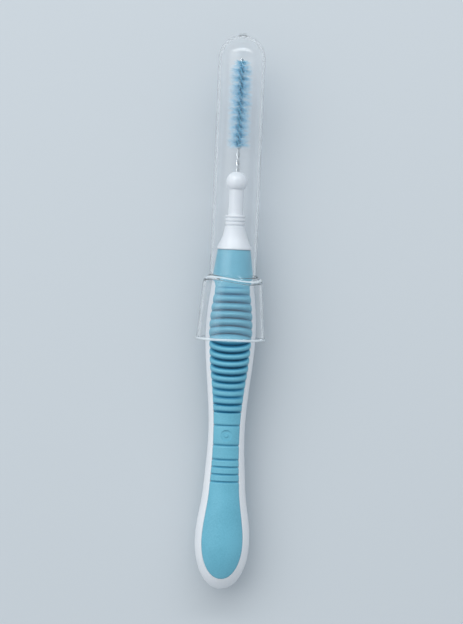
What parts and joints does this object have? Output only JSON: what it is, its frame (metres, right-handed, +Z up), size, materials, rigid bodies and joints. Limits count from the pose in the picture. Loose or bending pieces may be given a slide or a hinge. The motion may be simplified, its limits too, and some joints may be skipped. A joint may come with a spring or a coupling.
{
  "type": "interdental brush",
  "caption": "Slim hand-held brush with a twisted-wire bristle head, a ribbed two-shot grip and a clear push-on travel cap.",
  "frame": {"origin": "centre of the footprint on the surface that the capped brush lies on", "axes": "+Y along the brush towards the dome of the cap, +Z up out of the face with the gate mark, +X across the grip"},
  "size_m": [0.0124, 0.0984, 0.0116],
  "materials": {
    "white_core": "smooth moulded polypropylene",
    "soft_grip": "satin thermoplastic elastomer",
    "steel_wire": "drawn wire",
    "nylon_bristles": "translucent nylon filament",
    "clear_cap": "clear moulded polypropylene"
  },
  "bodies": {
    "handle": {"handle_core": "white_core", "soft_grip": "soft_grip", "twisted_wire": "steel_wire", "bristles": "nylon_bristles"},
    "cap": {"cap": "clear_cap"}
  },
  "joints": [
    {"name": "cap_slide", "type": "slide", "parent": "handle", "child": "cap", "axis": [0, 0.9993, 0.0362], "range_m": [0, 0.055]}
  ]
}
